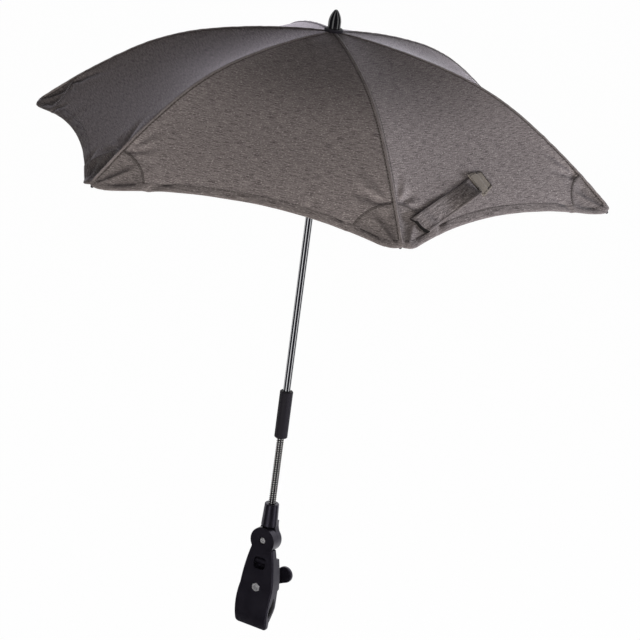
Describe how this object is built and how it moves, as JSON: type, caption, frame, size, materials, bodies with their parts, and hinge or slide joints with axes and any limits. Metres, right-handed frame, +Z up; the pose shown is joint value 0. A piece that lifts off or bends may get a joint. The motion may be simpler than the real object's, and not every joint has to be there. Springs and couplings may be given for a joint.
{
  "type": "pram parasol",
  "caption": "Folding sunshade with curved ribs on a slim mast, a bendable arm, a tilt joint and a screw clamp that grips a round tube.",
  "frame": {"origin": "middle of the clamp's tube bore, on its axis", "axes": "+X along the clamped tube, +Z up along the mast, -Y out of the clamp's front plate"},
  "size_m": [0.6802, 0.6908, 0.7793],
  "materials": {
    "clamp_plastic": "moulded, satin",
    "pad_rubber": "moulded, matt",
    "zinc_steel": "bright zinc",
    "friction_fibre": "pressed fibre",
    "winding_steel": "plated wire",
    "chrome_tube": "polished chrome",
    "gloss_black": "glossy moulded",
    "notch_plastic": "moulded",
    "spring_steel": "drawn wire",
    "rib_steel": "black lacquer",
    "tip_plastic": "moulded",
    "canopy_cloth": "melange weave"
  },
  "bodies": {
    "clamp": {"front_jaw": "clamp_plastic", "front_liner": "pad_rubber", "clamp_nut": "zinc_steel", "jaw_pin": "zinc_steel", "friction_washer": "friction_fibre"},
    "rear_jaw": {"rear_jaw": "clamp_plastic", "rear_liner": "pad_rubber"},
    "knob_carrier": {"knob_washer": "zinc_steel"},
    "knob": {"wing_knob": "clamp_plastic", "clamp_bolt": "zinc_steel"},
    "socket": {"socket": "clamp_plastic", "pivot_screw": "zinc_steel", "pivot_nut": "zinc_steel"},
    "gooseneck": {"gooseneck_winding": "winding_steel", "gooseneck_core": "winding_steel"},
    "mast": {"sleeve": "clamp_plastic", "shaft": "chrome_tube", "crown": "notch_plastic", "crown_wire": "spring_steel", "ferrule": "gloss_black", "ferrule_collar": "gloss_black"},
    "catch": {"spring_catch": "spring_steel"},
    "runner": {"runner": "notch_plastic", "runner_wire": "spring_steel"},
    "rib_1": {"rib_1": "rib_steel", "rib_tip_1": "tip_plastic", "rivet_1": "spring_steel", "gore_1": "canopy_cloth"},
    "stretcher_1": {"stretcher_1": "rib_steel"},
    "rib_2": {"rib_2": "rib_steel", "rib_tip_2": "tip_plastic", "rivet_2": "spring_steel", "gore_2": "canopy_cloth"},
    "stretcher_2": {"stretcher_2": "rib_steel"},
    "rib_3": {"rib_3": "rib_steel", "rib_tip_3": "tip_plastic", "rivet_3": "spring_steel", "gore_3": "canopy_cloth"},
    "stretcher_3": {"stretcher_3": "rib_steel"},
    "rib_4": {"rib_4": "rib_steel", "rib_tip_4": "tip_plastic", "rivet_4": "spring_steel", "gore_4": "canopy_cloth"},
    "stretcher_4": {"stretcher_4": "rib_steel"},
    "rib_5": {"rib_5": "rib_steel", "rib_tip_5": "tip_plastic", "rivet_5": "spring_steel", "gore_5": "canopy_cloth"},
    "stretcher_5": {"stretcher_5": "rib_steel"},
    "rib_6": {"rib_6": "rib_steel", "rib_tip_6": "tip_plastic", "rivet_6": "spring_steel", "gore_6": "canopy_cloth", "tie_strap": "canopy_cloth", "strap_patch": "canopy_cloth"},
    "stretcher_6": {"stretcher_6": "rib_steel"}
  },
  "joints": [
    {"name": "knob_travel", "type": "slide", "parent": "clamp", "child": "knob_carrier", "axis": [0, 1, 0], "range_m": [0, 0.009]},
    {"name": "knob_turn", "type": "hinge", "parent": "knob_carrier", "child": "knob", "pos_m": [0, 0.015, 0.029], "axis": [0, 1, 0], "range_deg": [0, 3240]},
    {"name": "jaw_swing", "type": "hinge", "parent": "clamp", "child": "rear_jaw", "pos_m": [0, -0.0035, 0.061], "axis": [1, 0, 0], "range_deg": [0, 11.3]},
    {"name": "tilt", "type": "hinge", "parent": "clamp", "child": "socket", "pos_m": [0, 0, 0.091], "axis": [0, 1, 0], "range_deg": [-90, 90]},
    {"name": "bend_back", "type": "hinge", "parent": "socket", "child": "gooseneck", "pos_m": [0, 0, 0.15975], "axis": [1, 0, 0], "range_deg": [-45, 45], "deforming": ["gooseneck_winding", "gooseneck_core"]},
    {"name": "bend_side", "type": "hinge", "parent": "gooseneck", "child": "mast", "pos_m": [0, 0, 0.20325], "axis": [0, 1, 0], "range_deg": [-45, 45], "deforming": ["gooseneck_winding", "gooseneck_core"]},
    {"name": "catch_press", "type": "hinge", "parent": "mast", "child": "catch", "pos_m": [0, 0.00251, 0.54373], "axis": [1, 0, 0], "range_deg": [0, 3], "stiffness_Nm_per_rad": 0.02},
    {"name": "runner_slide", "type": "slide", "parent": "mast", "child": "runner", "axis": [0, 0, -1], "range_m": [0, 0.28093], "deforming": ["gore_1", "gore_2", "gore_3", "gore_4", "gore_5", "gore_6", "tie_strap", "strap_patch", "spring_catch"]},
    {"name": "rib_1_fold", "type": "hinge", "parent": "mast", "child": "rib_1", "pos_m": [0.00929, 0.00278, 0.72617], "axis": [-0.2869, 0.958, 0], "range_deg": [0, 64.01]},
    {"name": "stretcher_1_fold", "type": "hinge", "parent": "rib_1", "child": "stretcher_1", "pos_m": [0.18509, 0.05542, 0.6826], "axis": [-0.2869, 0.958, 0], "range_deg": [-128.02, 0]},
    {"name": "rib_2_fold", "type": "hinge", "parent": "mast", "child": "rib_2", "pos_m": [0.00224, 0.00944, 0.72617], "axis": [-0.9731, 0.2306, 0], "range_deg": [0, 64.01]},
    {"name": "stretcher_2_fold", "type": "hinge", "parent": "rib_2", "child": "stretcher_2", "pos_m": [0.04455, 0.188, 0.6826], "axis": [-0.9731, 0.2306, 0], "range_deg": [-128.02, 0]},
    {"name": "rib_3_fold", "type": "hinge", "parent": "mast", "child": "rib_3", "pos_m": [-0.00706, 0.00666, 0.72617], "axis": [-0.6862, -0.7274, 0], "range_deg": [0, 64.01]},
    {"name": "stretcher_3_fold", "type": "hinge", "parent": "rib_3", "child": "stretcher_3", "pos_m": [-0.14054, 0.13258, 0.6826], "axis": [-0.6862, -0.7274, 0], "range_deg": [-128.02, 0]},
    {"name": "rib_4_fold", "type": "hinge", "parent": "mast", "child": "rib_4", "pos_m": [-0.00929, -0.00278, 0.72617], "axis": [0.2869, -0.958, 0], "range_deg": [0, 64.01]},
    {"name": "stretcher_4_fold", "type": "hinge", "parent": "rib_4", "child": "stretcher_4", "pos_m": [-0.18509, -0.05542, 0.6826], "axis": [0.2869, -0.958, 0], "range_deg": [-128.02, 0]},
    {"name": "rib_5_fold", "type": "hinge", "parent": "mast", "child": "rib_5", "pos_m": [-0.00224, -0.00944, 0.72617], "axis": [0.9731, -0.2306, 0], "range_deg": [0, 64.01]},
    {"name": "stretcher_5_fold", "type": "hinge", "parent": "rib_5", "child": "stretcher_5", "pos_m": [-0.04455, -0.188, 0.6826], "axis": [0.9731, -0.2306, 0], "range_deg": [-128.02, 0]},
    {"name": "rib_6_fold", "type": "hinge", "parent": "mast", "child": "rib_6", "pos_m": [0.00706, -0.00666, 0.72617], "axis": [0.6862, 0.7274, 0], "range_deg": [0, 64.01]},
    {"name": "stretcher_6_fold", "type": "hinge", "parent": "rib_6", "child": "stretcher_6", "pos_m": [0.14054, -0.13258, 0.6826], "axis": [0.6862, 0.7274, 0], "range_deg": [-128.02, 0]}
  ],
  "couplings": [
    {"joint": "knob_travel", "follows": "knob_turn", "m_per_rad": 0.00015915},
    {"joint": "jaw_swing", "follows": "knob_turn", "ratio": 0.0034877},
    {"joint": "rib_1_fold", "follows": "runner_slide", "rad_per_m": 3.9761},
    {"joint": "stretcher_1_fold", "follows": "runner_slide", "rad_per_m": -7.9522},
    {"joint": "rib_2_fold", "follows": "runner_slide", "rad_per_m": 3.9761},
    {"joint": "stretcher_2_fold", "follows": "runner_slide", "rad_per_m": -7.9522},
    {"joint": "rib_3_fold", "follows": "runner_slide", "rad_per_m": 3.9761},
    {"joint": "stretcher_3_fold", "follows": "runner_slide", "rad_per_m": -7.9522},
    {"joint": "rib_4_fold", "follows": "runner_slide", "rad_per_m": 3.9761},
    {"joint": "stretcher_4_fold", "follows": "runner_slide", "rad_per_m": -7.9522},
    {"joint": "rib_5_fold", "follows": "runner_slide", "rad_per_m": 3.9761},
    {"joint": "stretcher_5_fold", "follows": "runner_slide", "rad_per_m": -7.9522},
    {"joint": "rib_6_fold", "follows": "runner_slide", "rad_per_m": 3.9761},
    {"joint": "stretcher_6_fold", "follows": "runner_slide", "rad_per_m": -7.9522}
  ]
}
